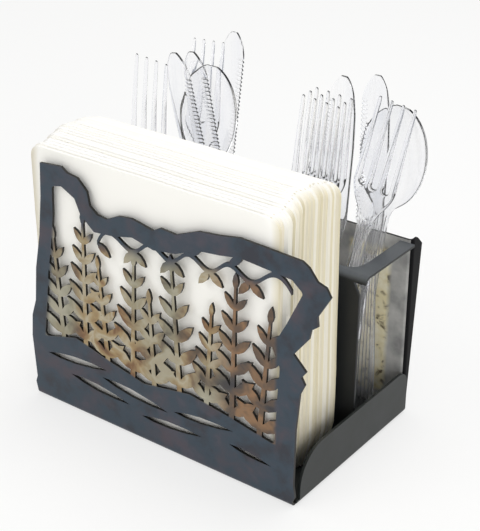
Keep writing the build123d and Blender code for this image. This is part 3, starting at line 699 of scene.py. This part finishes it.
def makeKnife(name):
    plan = knifePlan
    rows = []
    for along, half in plan["grip"]:
        rows.append((along, gripLine(half, along, plan["heel"], plan["thickness"], len(plan["lines"]))))
    # four rows to a tooth: two on its crest, then two in the hollow after it
    quarter = plan["pitch"] / 4
    steps = 4 * int((plan["toothEnd"] - plan["toothStart"]) / plan["pitch"])
    toothRows = [plan["toothStart"] + quarter * step for step in range(steps + 1)]
    for along in plan["heelRows"] + toothRows + plan["tipRows"]:
        cut, back = straight(plan["cut"], along), straight(plan["back"], along)
        step = (along - plan["toothStart"]) / quarter
        hollow = 0 <= step <= steps and round(step) % 4 in (2, 3)
        if hollow:
            cut += plan["tooth"]
        blade = max(0.0, min(1.0, (along - plan["heel"]) / plan["bladeRun"]))
        line = []
        for share in plan["lines"]:
            rise = min(1.0, share / plan["flatFrom"])
            keen = 1 - blade * (1 - (plan["edgeShare"] + (plan["flatShare"] - plan["edgeShare"]) * rise))
            if hollow and share < plan["toothReach"]:
                keen *= plan["scallop"]
            if share == 1.0:
                keen *= plan["spine"]
            wall = plan["thickness"] / 2 * keen
            line.append((cut + (back - cut) * share, wall, -wall))
        rows.append((along, line))
    if name in turnedKnives:
        rows = [(along, [(-x, front, back) for x, front, back in line]) for along, line in rows]
    return mouldedPiece(name, rows, set(), plan["rounds"], plan["heel"], True)


spoonPlan = {
    "neck": 115.0, "thickness": 1.6, "rounds": 2, "rim": 0.95, "leastHalf": 3.4,
    "bowlMiddle": 143.0, "bowlHalf": 28.0, "bowlAcross": 19.0, "depth": 6.6, "fullness": 0.85,
    "edge": handleEdge + [(27, 6.6), (48, 5.6), (72, 4.6), (96, 3.9), (108, 3.8), (114, 4.6)],
    "bowlRows": (117.5, 121, 126, 132, 138, 144, 150, 156, 161, 165.5, 168.8, 170.4),
    "lines": (-1.0, -0.95, -0.82, -0.64, -0.43, -0.21, 0.0, 0.21, 0.43, 0.64, 0.82, 0.95, 1.0),
}


def makeSpoon(name):
    plan = spoonPlan
    rows = []
    for along, half in plan["edge"]:
        rows.append((along, gripLine(half, along, plan["neck"], plan["thickness"], len(plan["lines"]))))
    for along in plan["bowlRows"]:
        level = (along - plan["bowlMiddle"]) / plan["bowlHalf"]
        half = max(plan["leastHalf"], plan["bowlAcross"] * sqrt(max(0.0, 1 - level ** 2)))
        line = []
        for share in plan["lines"]:
            out = min(1.0, level ** 2 + (share * half / plan["bowlAcross"]) ** 2)
            deep = -plan["depth"] * (1 - out) ** plan["fullness"]
            wall = plan["thickness"] / 2 * (plan["rim"] if abs(share) == 1.0 else 1.0)
            line.append((share * half, deep + wall, deep - wall))
        rows.append((along, line))
    return mouldedPiece(name, rows, set(), plan["rounds"], plan["neck"], True)


makers = {"fork": makeFork, "knife": makeKnife, "spoon": makeSpoon}
for name in stance:
    makers[name.split("_")[0]](name)
print("cutlery moulded:", len(stance), "pieces")


# White table and backdrop; both show white to the camera and in reflections, and the table keeps a shadow
stagePlan = {"table": 3.0, "tableWhite": "F4F4F2", "seenWhite": "FFFFFF", "shadowShare": 0.35, "ambient": 0.7}


def seenDirectly(tree):
    # 1 where the camera, a reflection or the clear plastic looks at a surface, 0 where it only sheds light
    rays = addNode(tree, "ShaderNodeLightPath").outputs
    looked = addNode(tree, "ShaderNodeMath", {0: rays["Is Camera Ray"], 1: rays["Is Glossy Ray"]},
                     operation="MAXIMUM")
    looked = addNode(tree, "ShaderNodeMath", {0: looked.outputs["Value"], 1: rays["Is Transmission Ray"]},
                     operation="MAXIMUM")
    return looked.outputs["Value"]


whiteTable, tableTree = newMaterial("whiteTable")
glowShare = addNode(tableTree, "ShaderNodeMath", {
    0: seenDirectly(tableTree), 1: 1 - stagePlan["shadowShare"]}, operation="MULTIPLY")
matt = addNode(tableTree, "ShaderNodeBsdfDiffuse", {"Color": hexColour(stagePlan["tableWhite"])})
glow = addNode(tableTree, "ShaderNodeEmission", {"Color": hexColour(stagePlan["seenWhite"]), "Strength": 1.0})
tableSurface = addNode(tableTree, "ShaderNodeMixShader", {
    0: glowShare.outputs["Value"], 1: matt.outputs["BSDF"], 2: glow.outputs["Emission"]})
addNode(tableTree, "ShaderNodeOutputMaterial", {"Surface": tableSurface.outputs["Shader"]})
half = stagePlan["table"]
tableMesh = bpy.data.meshes.new("white_table")
tableCorners = [(-half, -half, 0), (half, -half, 0), (half, half, 0), (-half, half, 0)]
tableMesh.from_pydata(tableCorners, [], [(0, 1, 2, 3)])
tableMesh.materials.append(whiteTable)
table = bpy.data.objects.new("white_table", tableMesh)
scene.collection.objects.link(table)

# Grey cards either side of the backdrop; only the clear plastic and the gloss pick them up, as edge lines
flagPlan = {"grey": "9A9FA8", "height": 0.9, "places": ((-0.885, 0.166, 0.95), (0.088, 0.896, 0.75))}
flagGrey, flagTree = newMaterial("greyCard")
flagSurface = addNode(flagTree, "ShaderNodeEmission", {"Color": hexColour(flagPlan["grey"]), "Strength": 1.0})
addNode(flagTree, "ShaderNodeOutputMaterial", {"Surface": flagSurface.outputs["Emission"]})
for number, (x, y, width) in enumerate(flagPlan["places"]):
    along = Vector((-y, x, 0)).normalized() * width / 2
    low, high = Vector((x, y, 0)), Vector((x, y, flagPlan["height"]))
    flagMesh = bpy.data.meshes.new("dark_card_%d" % number)
    flagMesh.from_pydata([low - along, low + along, high + along, high - along], [], [(0, 1, 2, 3)])
    flagMesh.materials.append(flagGrey)
    flag = bpy.data.objects.new("dark_card_%d" % number, flagMesh)
    flag.visible_camera = flag.visible_diffuse = flag.visible_shadow = False
    scene.collection.objects.link(flag)

world = bpy.data.worlds.new("whiteRoom")
scene.world = world
world.use_nodes = True
roomTree = world.node_tree
roomTree.nodes.clear()
strength = addNode(roomTree, "ShaderNodeMapRange", {
    "Value": seenDirectly(roomTree), "To Min": stagePlan["ambient"], "To Max": 1.0})
sky = addNode(roomTree, "ShaderNodeBackground", {
    "Color": hexColour(stagePlan["seenWhite"]), "Strength": strength.outputs["Result"]})
addNode(roomTree, "ShaderNodeOutputWorld", {"Surface": sky.outputs["Background"]})

# Soft round lamps, all turned towards the middle of the holder
lampPlan = {
    "key": {"place": (-0.55, -0.95, 1.05), "size": 0.7, "watts": 2.3},
    "top": {"place": (0.15, 0.25, 1.4), "size": 0.8, "watts": 6.0},
    "side": {"place": (0.8, -0.6, 0.35), "size": 0.4, "watts": 2.0},
}
lampAim = Vector((0, 0, 80 * mm))
for name, lamp in lampPlan.items():
    light = bpy.data.lights.new(name + "Lamp", "AREA")
    light.shape = "DISK"
    light.size = lamp["size"]
    light.energy = lamp["watts"]
    bulb = bpy.data.objects.new(name + "Lamp", light)
    bulb.location = lamp["place"]
    bulb.rotation_mode = "QUATERNION"
    bulb.rotation_quaternion = (lampAim - Vector(lamp["place"])).to_track_quat("-Z", "Y")
    scene.collection.objects.link(bulb)
scene.view_settings.view_transform = "Standard"
print("stage and lamps set")
